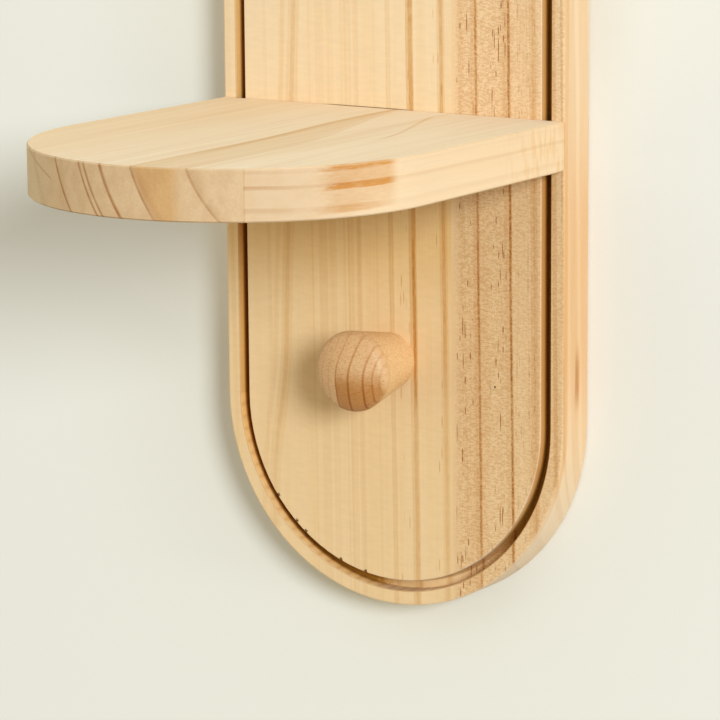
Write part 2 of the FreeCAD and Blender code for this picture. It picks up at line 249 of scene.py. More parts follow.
class Wood(Finish):
    """Finish whose fibres run along one axis of the object."""

    def __init__(self, name, grain, specular):
        super().__init__(name, specular)
        self.grain = "XYZ".index(grain)

    def streaks(self, across, along, detail=2.0, roughness=0.5, shift=0.0):
        """Noise drawn out along the grain."""
        lengths = [across] * 3
        lengths[self.grain] = along
        return self.noise(lengths, detail, roughness, shift)

    def wander(self, ring, slow, quick, fibre):
        """Ring coordinate that wanders along the grain."""
        return self.add(
            ring,
            self.swing(self.streaks(across=90.0, along=160.0, detail=1.0), slow),
            self.swing(self.streaks(across=25.0, along=40.0, detail=1.0, shift=3.1), quick),
            self.swing(self.streaks(across=0.5, along=9.0, detail=1.0, shift=7.7), fibre),
        )


# Levels of a noise between which one colour turns into another, and between which most of it lies
PATCHY = (0.35, 0.68)
MOST_OF_NOISE = (0.3, 0.7)

# How the backboard's grain lines lean with height and tilt through the thickness
LINES_LEVEL = -100.0
LINES_LEAN = 0.012
RING_TILT = 0.45
LATE_WOOD = (0.73, 0.50, 0.23, 1)
# Facing values that tell the back and the ends from the rest
BACK_TO_REST = (0.6, 0.3)
REST_TO_END = (0.1, 0.65)
END_COLOUR = (0.86, 0.67, 0.455, 1)
END_SHARE = 0.68
# The groove, whose light and shade are painted: soft edge, and fades of that painted shade by depth below the front
# or by distance from the inner edge
GROOVE_MARGIN, GROOVE_SOFT = 0.1, 0.15
GROOVE_WALL_DEPTH = (0.3, 0.8)
GROOVE_BROWN_DEPTH_LEFT, GROOVE_BROWN_DEPTH_RIGHT = (2.2, 5.0), (0.9, 3.6)
GROOVE_DARK_DEPTH_LEFT, GROOVE_DARK_DEPTH_RIGHT = (2.8, 4.8), (2.2, 4.2)
GROOVE_CORNER_DEPTH = (4.2, 5.6)
GROOVE_CORNER_REACH = (GROOVE_INNER + 1.6, GROOVE_INNER + 0.8)
GROOVE_FOOT_REACH = (GROOVE_INNER + 1.4, GROOVE_INNER + 2.6)
GROOVE_LIP_BAND = (GROOVE_OUTER + 0.05, GROOVE_OUTER + 0.3, 0.1)
# Where light falls into the groove at the foot, in X and in Z, and where painted shade darkens the outer part of that
# lit floor, in X
LIT_ACROSS, LIT_HEIGHT = (-12.0, -1.0), (-188.0, -205.0)
LIT_RAGGED = 6.0
FOOT_ACROSS = (-14.0, 6.0, 6.0, 12.0)
RIGHT_TO_LEFT = (10.0, -10.0)
# The stretch below the shelf in which painted shade of the shelf makes the groove's left side darker
BELOW_SHELF = (-170.0, -140.0)
BELOW_SHELF_DEEPER = 0.6
# Painted light and shade in the groove: golden tones on its left and right walls, browner then dark shade with depth,
# shade in the corner, at the foot and on the outer lip
GROOVE_LEFT_LIGHT_TONE = (1.1, 0.95, 0.60, 1)
GROOVE_RIGHT_SHADE_TONE = (1.0, 0.90, 0.68, 1)
GROOVE_SHADE_BROWN = (0.91, 0.65, 0.24, 1)
GROOVE_SHADE_DARK = (0.46, 0.47, 0.36, 1)
GROOVE_CORNER_SHADE = (0.62, 0.52, 0.38, 1)
GROOVE_FOOT_SHADE = (0.82, 0.78, 0.70, 1)
GROOVE_LIP_SHADE = (0.74, 0.62, 0.45, 1)
# Chips along the groove's lower left edge, painted as dark spots of shade, in degrees round the centre of the lower
# end
CHIP_TURNS = [216.5, 227.7, 232.6, 249.0, 259.4]
CHIP_RADIUS = 65.0
CHIP_REACH, CHIP_SOFT = 0.5, 0.5
CHIP_SHADE = (0.16, 0.07, 0.025, 1)
# Roughness of the board, from and to, and of its groove
BOARD_ROUGHNESS = (0.46, 0.58)
GROOVE_ROUGHNESS = 0.95


class BoardWood(Wood):
    """Pine of the backboard: grain upright, rings tilted through the thickness."""

    def __init__(self, name):
        super().__init__(name, "Z", specular=0.25)
        self.depth = self.minus(self.y, BOARD_FRONT)
        lean = self.times(self.minus(self.z, LINES_LEVEL), LINES_LEAN)
        straight = self.add(self.x, lean, self.times(self.depth, RING_TILT))
        self.ring = self.wander(straight, slow=0.35, quick=0.22, fibre=0.14)
        self.from_middle = self.from_board_middle()
        self.not_back = self.fade(self.facing_y, *BACK_TO_REST)
        across_groove = self.band(self.from_middle, GROOVE_INNER - GROOVE_MARGIN, GROOVE_OUTER + GROOVE_MARGIN,
                                  GROOVE_SOFT)
        self.in_groove = self.times(self.not_back, across_groove)
        self.end_grain = self.fade(self.math("ABSOLUTE", self.facing_z), *REST_TO_END)

    def painted_groove_shade(self, colour):
        """Painted light and shade in the milled groove: golden brown tones of light on its walls, painted shade
        darker with depth and down its right side, and painted shade in chips near the lower end.
        """
        torn = self.swing(self.noise((0.8, 0.8, 0.8), detail=2.0, shift=6.6), 1.1)
        lit = self.fade(self.math("MULTIPLY_ADD", torn, LIT_RAGGED, self.x), *LIT_ACROSS)
        lit = self.times(lit, self.fade(self.z, *LIT_HEIGHT))
        shaded = self.times(self.in_groove, self.minus(1.0, lit))
        left = self.fade(self.x, *RIGHT_TO_LEFT)
        right = self.minus(1.0, left)
        # Painted golden tones of light and shade on the groove's walls
        wall = self.times(shaded, self.fade(self.depth, *GROOVE_WALL_DEPTH))
        colour = self.tint(colour, self.times(wall, left), GROOVE_LEFT_LIGHT_TONE)
        colour = self.tint(colour, self.times(wall, right), GROOVE_RIGHT_SHADE_TONE)
        # Painted shade of the shelf: below it the groove's left side darkens nearer the front
        painted_shelf_shade = self.times(self.fade(self.z, *BELOW_SHELF), self.fade(self.z, SHELF_TOP, SHELF_UNDERSIDE))
        left_depth = self.math("MULTIPLY_ADD", painted_shelf_shade, BELOW_SHELF_DEEPER, self.depth)
        # Painted shade: browner, then dark, with depth in the groove
        brown = self.add(self.times(left, self.fade(left_depth, *GROOVE_BROWN_DEPTH_LEFT)),
                         self.times(right, self.fade(self.depth, *GROOVE_BROWN_DEPTH_RIGHT)))
        colour = self.tint(colour, self.times(shaded, brown), GROOVE_SHADE_BROWN)
        dark = self.add(self.times(left, self.fade(left_depth, *GROOVE_DARK_DEPTH_LEFT)),
                        self.times(right, self.fade(self.depth, *GROOVE_DARK_DEPTH_RIGHT)))
        colour = self.tint(colour, self.times(shaded, dark), GROOVE_SHADE_DARK)
        # Painted shade in the corner by the inner wall, where light falls at the foot
        corner = self.times(self.fade(self.from_middle, *GROOVE_CORNER_REACH),
                            self.fade(self.depth, *GROOVE_CORNER_DEPTH))
        colour = self.tint(colour, self.times(self.in_groove, corner, lit), GROOVE_CORNER_SHADE)
        # Painted shade on the outer part of the lit floor at the foot
        foot = self.times(self.band(self.x, *FOOT_ACROSS), self.fade(self.from_middle, *GROOVE_FOOT_REACH))
        colour = self.tint(colour, self.times(self.in_groove, foot, lit), GROOVE_FOOT_SHADE)
        # Painted shade on the bevel of the groove's outer lip
        lip = self.times(self.not_back, self.band(self.from_middle, *GROOVE_LIP_BAND))
        colour = self.tint(colour, lip, GROOVE_LIP_SHADE)
        # Chips painted as dark spots of shade
        for turn in CHIP_TURNS:
            chip_x = CHIP_RADIUS * math.cos(math.radians(turn))
            chip_z = CHIP_RADIUS * math.sin(math.radians(turn)) - END_CENTRE
            chip = self.spot(chip_x, chip_z, CHIP_REACH, CHIP_SOFT, torn)
            colour = self.mix(self.times(self.not_back, chip), colour, CHIP_SHADE)
        return colour

    def uneven(self):
        """Strength of the brown lines, which varies along the grain."""
        varied = self.streaks(across=3.0, along=26.0, detail=2.0, shift=9.1)
        return self.fade(varied, 0.34, 0.60, low=0.75, high=1.0)

    def end_shade(self, colour):
        """Paler, duller wood where the ends cut across the grain."""
        return self.mix(self.times(self.end_grain, END_SHARE), colour, END_COLOUR)

    def roughened(self, texture):
        """Roughness that follows a texture, and is dull in the groove."""
        return self.most(self.fade(texture, *MOST_OF_NOISE, *BOARD_ROUGHNESS),
                         self.times(self.in_groove, GROOVE_ROUGHNESS))


# Grain lines across the wide stave, in X at one level: start, stop, soft before, soft after, strength
SOFT_LINES = [
    (-72.6, -71.4, 0.8, 0.5, 0.14), (-55.6, -54.4, 0.6, 0.6, 0.13), (-35.1, -34.5, 0.3, 0.3, 0.15),
    (-31.6, -28.4, 0.8, 0.6, 0.17), (-26.4, -24.2, 0.8, 0.5, 0.12), (-20.5, -20.0, 0.3, 0.3, 0.16),
    (-18.7, -18.0, 0.3, 0.4, 0.26), (-17.4, -16.0, 0.4, 0.4, 0.15), (-14.6, -12.8, 0.8, 0.5, 0.22),
    (-14.0, -13.4, 0.3, 0.3, 0.30), (-6.0, -5.4, 0.4, 0.4, 0.10), (-0.3, 1.5, 0.4, 0.4, 0.28),
    (-0.1, 0.2, 0.3, 0.3, 0.42), (1.0, 1.3, 0.3, 0.3, 0.42),
]
STRONG_LINES = [
    (8.7, 11.6, 0.5, 0.4, 0.55), (9.8, 11.3, 0.4, 0.3, 1.0),
    (22.3, 25.1, 0.6, 0.5, 0.34), (23.2, 24.4, 0.6, 0.4, 0.80),
]
# How these lines change with height, in Z: from, to, strength at the first, strength at the second
LINES_FAINTER_LOW = (-105.0, -160.0, 1.0, 0.6)
LINES_FAINTER_HIGH = (-60.0, -30.0, 1.25, 0.6)
# Dark core of the strongest line, and the stretch in Z where it shows
DEEP_LINE = (10.2, 10.9, 0.4, 0.3, 0.75)
DEEP_LINE_REACH = (-142.0, -100.0, 10.0, 25.0)
DEEP_WOOD = (0.72, 0.55, 0.26, 1)
# Band that drifts across the grain left of the peg: its lean, and its place and strength by height
DRIFT_LEAN = -0.037
DRIFT_PLACE = (-128.0, -182.0, 42.7, 46.7)
DRIFT_STRENGTH = (-185.0, -150.0, 0.9, 1.5)
DRIFT_LINES = [(-5.6, -4.4, 0.8, 0.8, 0.12), (-2.2, 2.0, 0.8, 1.2, 0.14), (-0.9, 0.6, 0.7, 0.6, 0.30)]
# Grain lines along the board's left side, in depth from the front
BOARD_SIDE_LINES = [
    (2.6, 3.2, 0.6, 0.8, 0.40), (6.4, 8.0, 0.8, 1.2, 0.25), (7.6, 7.9, 0.4, 0.4, 0.45),
    (12.0, 12.6, 0.6, 0.5, 0.40), (15.2, 16.0, 0.6, 0.6, 0.30),
]
LEFT_SIDE_FACING = (-0.5, -0.9)
# Heights, in Z, between which painted light turns the wood cooler above the shelf and painted shade turns it more
# golden under it
ABOVE_SHELF = (-55.0, -25.0)
UNDER_SHELF_LOW, UNDER_SHELF_HIGH = (-114.0, -82.0), (-45.0, -52.0)
PALE_WOOD = (0.84, 0.60, 0.322, 1)
PALE_WOOD_WARM = (0.83, 0.575, 0.292, 1)
PALE_PAINTED_LIGHT_ABOVE_SHELF = (0.925, 0.99, 1.13, 1)
PALE_PAINTED_SHADE_UNDER_SHELF = (0.97, 0.90, 0.74, 1)
# Stretches with resin dashes, in X: start, stop, soft on both sides
PALE_DASH_ZONES = [(3.5, 8.0, 1.0), (19.5, 23.5, 1.0)]
PALE_DASH = (0.70, 0.45, 0.21, 1)
# Open joint above the shelf's back edge, painted as a dark line of shade, in Z and in X
GAP_HEIGHT = (SHELF_TOP - 0.5, SHELF_TOP + 0.22, 0.14)
GAP_ACROSS = (-22.0, 3.0, 10.0)
GAP_SHADE_COLOUR = (0.12, 0.06, 0.025, 1)
GAP_SHARE = 0.85


def pale_stave_finish():
    """Wide stave of the backboard: smooth and pale, with soft tan bands."""
    wood = BoardWood("pine_board_pale")
    broad = wood.streaks(across=6.0, along=320.0, detail=2.0, shift=1.7)
    colour = wood.mix(wood.fade(broad, *PATCHY), PALE_WOOD, PALE_WOOD_WARM)
    hair = wood.fade(wood.streaks(across=0.8, along=160.0, detail=2.0, shift=4.2), 0.54, 0.70)
    colour = wood.tint(colour, wood.times(hair, 0.06), LATE_WOOD)

    fainter_low = wood.fade(wood.z, *LINES_FAINTER_LOW)
    fainter_high = wood.fade(wood.z, *LINES_FAINTER_HIGH)
    soft = wood.times(wood.bands(wood.ring, SOFT_LINES), fainter_high, fainter_low)
    strong = wood.times(wood.bands(wood.ring, STRONG_LINES), fainter_low, wood.uneven())
    curved = wood.add(wood.x, wood.times(wood.z, DRIFT_LEAN), wood.fade(wood.z, *DRIFT_PLACE))
    curved = wood.add(curved, wood.swing(wood.streaks(across=8.0, along=50.0, detail=1.0, shift=6.1), 0.8))
    drifting = wood.times(wood.bands(curved, DRIFT_LINES), wood.fade(wood.z, *DRIFT_STRENGTH))
    late = wood.most(soft, strong, drifting)
    fleck = wood.fade(wood.streaks(across=0.5, along=3.5, detail=1.0, shift=8.3), 0.35, 0.62, low=0.78, high=1.0)
    colour = wood.tint(colour, wood.times(late, fleck), LATE_WOOD)
    deep = wood.times(wood.band(wood.ring, *DEEP_LINE), wood.band(wood.z, *DEEP_LINE_REACH), fleck)
    colour = wood.tint(colour, deep, DEEP_WOOD)

    side = wood.fade(wood.facing_x, *LEFT_SIDE_FACING)
    layers = wood.add(wood.depth, wood.swing(wood.streaks(across=20.0, along=150.0, detail=1.5, shift=5.2), 2.0))
    colour = wood.tint(colour, wood.times(side, wood.bands(layers, BOARD_SIDE_LINES)), LATE_WOOD)
    # Painted light: wood above the shelf cooler and paler
    painted_light_above_shelf = wood.times(wood.not_back, wood.fade(wood.z, *ABOVE_SHELF))
    colour = wood.tint(colour, painted_light_above_shelf, PALE_PAINTED_LIGHT_ABOVE_SHELF)
    # Painted shade: wood under the shelf more golden
    painted_shade_under_shelf = wood.times(wood.not_back, wood.fade(wood.z, *UNDER_SHELF_LOW), wood.fade(wood.z, *UNDER_SHELF_HIGH))
    colour = wood.tint(colour, painted_shade_under_shelf, PALE_PAINTED_SHADE_UNDER_SHELF)

    dashes = wood.times(wood.marks((1.2, 4.0, 11.0), share=0.34, shift=2.9), wood.bands(wood.x, PALE_DASH_ZONES))
    colour = wood.tint(colour, wood.times(dashes, 0.5), PALE_DASH)
    fibre = wood.streaks(across=0.5, along=30.0, detail=3.0, roughness=0.6)
    ripple = wood.noise((5.0, 5.0, 1.4), detail=2.0, shift=3.3)
    colour = wood.shade(colour, wood.swing(fibre, 0.04), wood.swing(ripple, 0.055))
    colour = wood.painted_groove_shade(wood.end_shade(colour))
    # Painted shade in the open joint above the shelf
    gap = wood.times(wood.band(wood.z, *GAP_HEIGHT), wood.band(wood.x, *GAP_ACROSS))
    colour = wood.mix(wood.times(gap, wood.not_back, GAP_SHARE), colour, GAP_SHADE_COLOUR)
    height = wood.add(wood.times(fibre, 0.02), wood.times(ripple, 0.02), wood.times(late, 0.03),
                      wood.times(dashes, -0.04))
    return wood.finish(colour, height, wood.roughened(fibre))


# Grain lines across the narrow stave, in X at one level, and the dark cores of two of them
RIGHT_STAVE_LINES = [
    (31.4, 33.0, 0.5, 0.5, 0.18), (37.0, 39.4, 1.0, 0.4, 0.30), (38.4, 39.1, 0.5, 0.4, 0.80),
    (50.7, 53.3, 1.0, 0.4, 0.32), (52.3, 53.1, 0.5, 0.4, 0.90), (60.0, 60.4, 0.4, 0.4, 0.20),
    (61.6, 63.8, 0.8, 0.6, 0.38), (62.5, 63.0, 0.4, 0.4, 0.60), (70.8, 71.9, 0.8, 0.6, 0.55),
    (74.4, 75.0, 0.3, 0.3, 0.45), (77.4, 79.2, 0.5, 0.5, 0.40), (80.9, 83.5, 0.5, 0.5, 0.34),
]
RIGHT_STAVE_DEEP_LINES = [(38.5, 39.0, 0.5, 0.3, 0.62), (52.4, 52.9, 0.5, 0.3, 1.0)]
RIGHT_STAVE_DEEP_WOOD = (0.60, 0.43, 0.25, 1)
RESINOUS_WOOD = (0.83, 0.58, 0.312, 1)
RESINOUS_WOOD_WARM = (0.80, 0.53, 0.27, 1)
RESINOUS_PAINTED_LIGHT_ABOVE_SHELF = (0.94, 0.97, 1.04, 1)
# Paler wood next to the glue line, in X, where the speckle stops
JOINT_FADE = (32.0, 26.5)
JOINT_WOOD = (0.82, 0.57, 0.30, 1)
SPECKLE_FADE = (26.5, 32.0)
SPECKLE_FAINTER = (48.0, 58.0, 1.0, 0.72)
SPECKLE_COLOUR = (0.76, 0.62, 0.47, 1)
# Stretches with resin dashes, in X: start, stop, soft before, soft after, strength, where they differ
RESIN_DASH_ZONES = [(29.8, 36.0, 1.5), (44.5, 50.0, 1.2), (54.0, 63.0, 1.0, 1.0, 0.35)]
RESIN_DASH = (0.52, 0.29, 0.13, 1)
# The board's right side: a golden strip next to the front, a blush and a brown streak below the shelf
RIGHT_SIDE_FACING = (0.5, 0.9)
SIDE_SHARE = 0.85
SIDE_WOOD = (0.82, 0.60, 0.365, 1)
SIDE_LINE = (0.86, 0.72, 0.56, 1)
SIDE_STRIP_DEPTH = (0.4, 2.0, 0.3, 1.8)
SIDE_STRIP = (0.92, 0.78, 0.60, 1)
SIDE_BLUSH_HEIGHT = (-122.0, -80.0, 45.0, 60.0)
SIDE_BLUSH = (0.95, 0.84, 0.72, 1)
SIDE_STREAK_HEIGHT, SIDE_STREAK_ACROSS = (-134.0, -128.0, 12.0), (-8.6, -7.2, 1.4)
SIDE_STREAK = (0.74, 0.58, 0.42, 1)
# Pin knot, in X and Z
KNOT_X, KNOT_Z = 45.8, -135.6
KNOT_REACH, KNOT_SOFT = 0.22, 0.35
KNOT_COLOUR = (0.05, 0.025, 0.012, 1)


def resinous_stave_finish():
    """Narrow stave of the backboard: darker, speckled, with brown lines and short resin dashes."""
    wood = BoardWood("pine_board_resinous")
    broad = wood.streaks(across=5.0, along=240.0, detail=2.0, shift=1.7)
    colour = wood.mix(wood.fade(broad, *PATCHY), RESINOUS_WOOD, RESINOUS_WOOD_WARM)
    joint = wood.fade(wood.add(wood.x, wood.swing(broad, 1.5)), *JOINT_FADE)
    colour = wood.mix(wood.times(joint, 0.8), colour, JOINT_WOOD)
    # Painted light: wood above the shelf a little cooler
    painted_light_above_shelf = wood.times(wood.not_back, wood.fade(wood.z, *ABOVE_SHELF))
    colour = wood.tint(colour, painted_light_above_shelf, RESINOUS_PAINTED_LIGHT_ABOVE_SHELF)
    speckled = wood.times(wood.fade(wood.x, *SPECKLE_FAINTER), wood.fade(wood.x, *SPECKLE_FADE))
    coarse = wood.noise((1.3, 0.8, 0.5), detail=1.0, shift=5.3)
    fine = wood.noise((0.45, 0.5, 0.6), detail=1.0, shift=2.2)
    speckle = wood.add(wood.times(coarse, 0.6), wood.times(fine, 0.4))
    colour = wood.tint(colour, wood.times(wood.fade(speckle, 0.38, 0.64), speckled, 0.75), SPECKLE_COLOUR)

    late = wood.times(wood.bands(wood.ring, RIGHT_STAVE_LINES), wood.uneven())
    fleck = wood.fade(wood.noise((0.6, 0.6, 1.6), detail=1.0, shift=8.3), 0.32, 0.62, low=0.6, high=1.0)
    colour = wood.tint(colour, wood.times(late, fleck), LATE_WOOD)
    ragged = wood.fade(wood.noise((0.7, 0.7, 1.3), detail=2.0, shift=6.6), 0.40, 0.58, low=0.25, high=1.0)
    deep = wood.times(wood.bands(wood.ring, RIGHT_STAVE_DEEP_LINES), wood.uneven(), ragged)
    colour = wood.tint(colour, deep, RIGHT_STAVE_DEEP_WOOD)
    short = wood.marks((1.1, 4.0, 6.5), share=0.36, size=0.3, shift=2.9)
    long = wood.marks((0.9, 4.0, 15.0), share=0.26, size=0.3, shift=7.4)
    dashes = wood.times(wood.most(short, long), wood.bands(wood.x, RESIN_DASH_ZONES))
    colour = wood.tint(colour, wood.times(dashes, 0.9), RESIN_DASH)
    fibre = wood.streaks(across=0.55, along=28.0, detail=3.0, roughness=0.6)
    colour = wood.shade(colour, wood.swing(fibre, 0.08))

    side = wood.fade(wood.facing_x, *RIGHT_SIDE_FACING)
    colour = wood.mix(wood.times(side, SIDE_SHARE), colour, wood.tint(SIDE_WOOD, late, SIDE_LINE))
    strip = wood.times(side, wood.band(wood.depth, *SIDE_STRIP_DEPTH))
    colour = wood.tint(colour, strip, SIDE_STRIP)
    blush = wood.times(side, wood.band(wood.z, *SIDE_BLUSH_HEIGHT))
    colour = wood.tint(colour, blush, SIDE_BLUSH)
    streak_across = wood.band(wood.add(wood.y, wood.swing(fibre, 1.6)), *SIDE_STREAK_ACROSS)
    streak = wood.times(side, wood.band(wood.z, *SIDE_STREAK_HEIGHT), streak_across)
    colour = wood.tint(colour, streak, SIDE_STREAK)
    colour = wood.painted_groove_shade(wood.end_shade(colour))
    colour = wood.mix(wood.spot(KNOT_X, KNOT_Z, KNOT_REACH, KNOT_SOFT), colour, KNOT_COLOUR)
    height = wood.add(wood.times(fibre, 0.02), wood.times(speckle, speckled, 0.16), wood.times(late, 0.03),
                      wood.times(dashes, -0.08))
    return wood.finish(colour, height, wood.roughened(speckle))


# The shelf's faces: their colours, and the facing values that tell them apart
SHELF_TOP_COLOUR = (0.92, 0.738, 0.484, 1)
SHELF_TOP_TINT = (0.89, 0.70, 0.44, 1)
SHELF_TOP_LEFT = (0.985, 0.92, 0.83, 1)
SHELF_TOP_LEFT_ACROSS = (0.0, -60.0)
TOP_LINE = (0.82, 0.65, 0.43, 1)
TOP_FACING = (0.6, 0.9)
NOSE_FACING = (-0.15, -0.75)
# Painted shade on the bevel along the top's edge: where it lies by facing, and its colour
BEVEL_FACING = (0.45, 0.85, 0.15)
BEVEL_SHADE = (0.90, 0.86, 0.80, 1)
# Glue line at the shelf's end, in Y
GLUE_REACH = (BOARD_FRONT - 0.5, BOARD_FRONT - 0.15)
GLUE_SHARE = 0.8
GLUE_COLOUR = (0.62, 0.38, 0.2, 1)
SHELF_ROUGHNESS = (0.66, 0.76)


class ShelfWood(Wood):
    """Pine of the shelf: grain along its depth, end grain on its nose."""

    def __init__(self, name):
        super().__init__(name, "Y", specular=0.12)
        self.down = self.minus(SHELF_TOP, self.z)
        self.top = self.fade(self.facing_z, *TOP_FACING)
        self.end_grain = self.fade(self.facing_y, *NOSE_FACING)
        self.fibre = self.streaks(across=0.6, along=34.0, detail=3.0, roughness=0.6)
        self.broad = self.streaks(across=5.0, along=300.0, detail=2.0, shift=4.4)

    def top_colour(self):
        colour = self.mix(self.fade(self.broad, *PATCHY), SHELF_TOP_COLOUR, SHELF_TOP_TINT)
        colour = self.tint(colour, self.fade(self.x, *SHELF_TOP_LEFT_ACROSS), SHELF_TOP_LEFT)
        hair = self.fade(self.streaks(across=4.0, along=75.0, detail=1.5, shift=5.9), 0.45, 0.74)
        return self.tint(colour, self.times(hair, 0.20), TOP_LINE)

    def fibred(self, colour, amount):
        return self.shade(colour, self.swing(self.fibre, amount))

    def from_edge(self):
        """How far a point of the top lies inside the shelf's half-round nose."""
        return self.minus(HALF_WIDTH, self.distance(self.x, self.minus(self.y, SHELF_NOSE + HALF_WIDTH)))

    def painted_bevel_shade(self, colour):
        """Painted shade, slightly darker, on the sanded bevel along the top's edge."""
        return self.tint(colour, self.band(self.facing_z, *BEVEL_FACING), BEVEL_SHADE)

    def back_joint(self, colour):
        """Thin line of glue where the shelf's end meets the board."""
        return self.tint(colour, self.fade(self.y, *GLUE_REACH, low=0.0, high=GLUE_SHARE), GLUE_COLOUR)

    def sanded(self, texture):
        """Roughness that follows a texture."""
        return self.fade(texture, *MOST_OF_NOISE, *SHELF_ROUGHNESS)


# Ring lines on the shelf's nose, in X at its top: start, stop, soft before, soft after, strength
NOSE_LINES = [
    (-61.0, -60.0, 3.0, 1.0, 0.16), (-45.0, -44.0, 3.0, 1.0, 0.18), (-28.9, -28.4, 0.2, 0.9, 0.85),
    (-16.0, -15.5, 0.3, 0.6, 0.80), (-13.6, -13.2, 0.3, 0.7, 0.75), (-6.2, -5.5, 0.3, 1.0, 0.90),
    (6.8, 7.2, 0.3, 0.9, 0.72), (7.2, 7.6, 0.2, 4.5, 0.34),
    (26.4, 26.8, 0.4, 0.8, 0.54), (26.8, 27.2, 0.2, 4.0, 0.22),
]
# How the rings lean and bow with depth below the top, and lean more towards the right, in X
NOSE_LEAN = 0.30
NOSE_BOW = 0.011
NOSE_LEAN_RIGHT = (18.0, 32.0, 1.0, 1.12)
# Faint slanting mark at the nose's left: where it starts, its slant, its profile and its end, in X
WEDGE_START, WEDGE_SLANT = -52.0, -2.6
WEDGE_PROFILE = (-0.6, 0.3, 0.4, 2.5)
WEDGE_END = (-30.0, -33.0)
# Grain lines along the shelf's left side, in depth from its top
SHELF_SIDE_LINES = [
    (3.4, 4.0, 0.9, 0.5, 0.70), (7.8, 9.6, 1.0, 0.8, 0.40), (9.2, 9.6, 0.4, 0.4, 0.75),
    (14.2, 14.8, 1.0, 0.5, 0.60),
]
SHELF_SIDE_FACING = (-0.88, -0.98)
# Edges of the tapering tan band and a thin line on the top: from Y, to Y, X at the first, X at the second
TAN_BAND_LEFT = (-130.0, -40.0, 6.8, 1.7)
TAN_BAND_RIGHT = (-122.0, -14.0, 26.4, 5.0)
THIN_LINE = (-95.0, -14.0, 42.8, 24.0)
# Soft profiles across these edges and lines, in X from them, and where they fade along the top, in Y
TAN_INSIDE_LEFT, TAN_INSIDE_RIGHT = (-0.2, 0.4), (0.6, -3.0)
TAN_EDGE_LEFT, TAN_EDGE_RIGHT = (0.0, 0.3, 0.9, 4.5, 0.6), (-0.3, 0.1, 1.6, 0.9, 0.3)
TAN_EDGE_FAINTER = (-180.0, -120.0, 0.4, 1.0)
THIN_PROFILE = (-0.2, 0.2, 0.7, 1.4)
THIN_START, THIN_END = (-98.0, -86.0), (-22.0, -34.0)
TAN_BAND = (0.88, 0.77, 0.62, 1)
END_WOOD = (0.655, 0.448, 0.244, 1)
END_WOOD_DARK = (0.61, 0.403, 0.212, 1)
END_WOOD_LEFT = (0.76, 0.577, 0.344, 1)
END_WOOD_LEFT_ACROSS = (-24.0, -48.0)
END_WOOD_LINE = (0.57, 0.36, 0.19, 1)
# Golden patch between two rings of the nose: its left end by ring, its right end in X
NOSE_PATCH_LEFT, NOSE_PATCH_RIGHT = (6.8, 9.5), (26.5, 20.0)
NOSE_PATCH = (0.92, 0.79, 0.60, 1)


def shelf_finish():
    """Wide stave of the shelf: ring lines on the nose, a tapering tan band along the top."""
    wood = ShelfWood("pine_shelf_grain")
    bowed = wood.times(wood.down, wood.math("MULTIPLY_ADD", wood.down, NOSE_BOW, NOSE_LEAN))
    bowed = wood.times(bowed, wood.fade(wood.x, *NOSE_LEAN_RIGHT))
    ring = wood.wander(wood.minus(wood.x, bowed), slow=0.4, quick=0.25, fibre=0.08)
    uneven = wood.fade(wood.noise((6.0, 6.0, 4.0), detail=2.0, shift=4.9), 0.35, 0.62, low=0.78, high=1.0)
    late = wood.times(wood.bands(ring, NOSE_LINES), uneven)

    across = wood.add(wood.x, wood.swing(wood.streaks(across=20.0, along=60.0, detail=1.0, shift=1.1), 1.2))
    from_left = wood.minus(across, wood.fade(wood.y, *TAN_BAND_LEFT))
    from_right = wood.minus(across, wood.fade(wood.y, *TAN_BAND_RIGHT))
    in_band = wood.times(wood.fade(from_left, *TAN_INSIDE_LEFT), wood.fade(from_right, *TAN_INSIDE_RIGHT))
    left_edge = wood.times(wood.band(from_left, *TAN_EDGE_LEFT), wood.fade(wood.y, *TAN_EDGE_FAINTER))
    top = wood.tint(wood.top_colour(), wood.times(in_band, 0.6), TAN_BAND)
    top = wood.tint(top, wood.most(left_edge, wood.band(from_right, *TAN_EDGE_RIGHT)), TOP_LINE)
    from_thin = wood.minus(across, wood.fade(wood.y, *THIN_LINE))
    thin = wood.times(wood.band(from_thin, *THIN_PROFILE), wood.fade(wood.y, *THIN_START),
                      wood.fade(wood.y, *THIN_END))
    top = wood.tint(top, wood.most(wood.times(thin, 0.5), wood.times(late, 0.14)), TOP_LINE)

    mottle = wood.noise((0.9, 0.9, 0.9), detail=2.0, shift=2.7)
    cloudy = wood.noise((5.0, 5.0, 7.0), detail=2.0, shift=7.2)
    nose = wood.mix(wood.fade(cloudy, 0.35, 0.65), END_WOOD, END_WOOD_DARK)
    nose = wood.mix(wood.fade(wood.x, *END_WOOD_LEFT_ACROSS), nose, END_WOOD_LEFT)
    patch = wood.times(wood.fade(ring, *NOSE_PATCH_LEFT),
                       wood.fade(wood.add(wood.x, wood.swing(cloudy, 3.0)), *NOSE_PATCH_RIGHT))
    nose = wood.tint(nose, patch, NOSE_PATCH)
    wedge = wood.math("MULTIPLY_ADD", wood.down, WEDGE_SLANT, wood.minus(wood.x, WEDGE_START))
    wedge = wood.times(wood.band(wedge, *WEDGE_PROFILE), wood.fade(wood.x, *WEDGE_END))
    nose = wood.tint(nose, wood.most(late, wood.times(wedge, 0.4)), END_WOOD_LINE)
    layers = wood.wander(wood.down, slow=1.4, quick=0.6, fibre=0.10)
    side_lines = wood.times(wood.fade(wood.facing_x, *SHELF_SIDE_FACING), wood.bands(layers, SHELF_SIDE_LINES))
    nose = wood.tint(nose, side_lines, TOP_LINE)
    nose = wood.shade(nose, wood.swing(mottle, 0.10))

    colour = wood.mix(wood.top, wood.fibred(nose, 0.06), wood.fibred(top, 0.03))
    colour = wood.back_joint(wood.painted_bevel_shade(colour))
    height = wood.add(wood.times(wood.fibre, 0.02), wood.times(mottle, wood.end_grain, 0.03))
    return wood.finish(colour, height, wood.sanded(mottle))


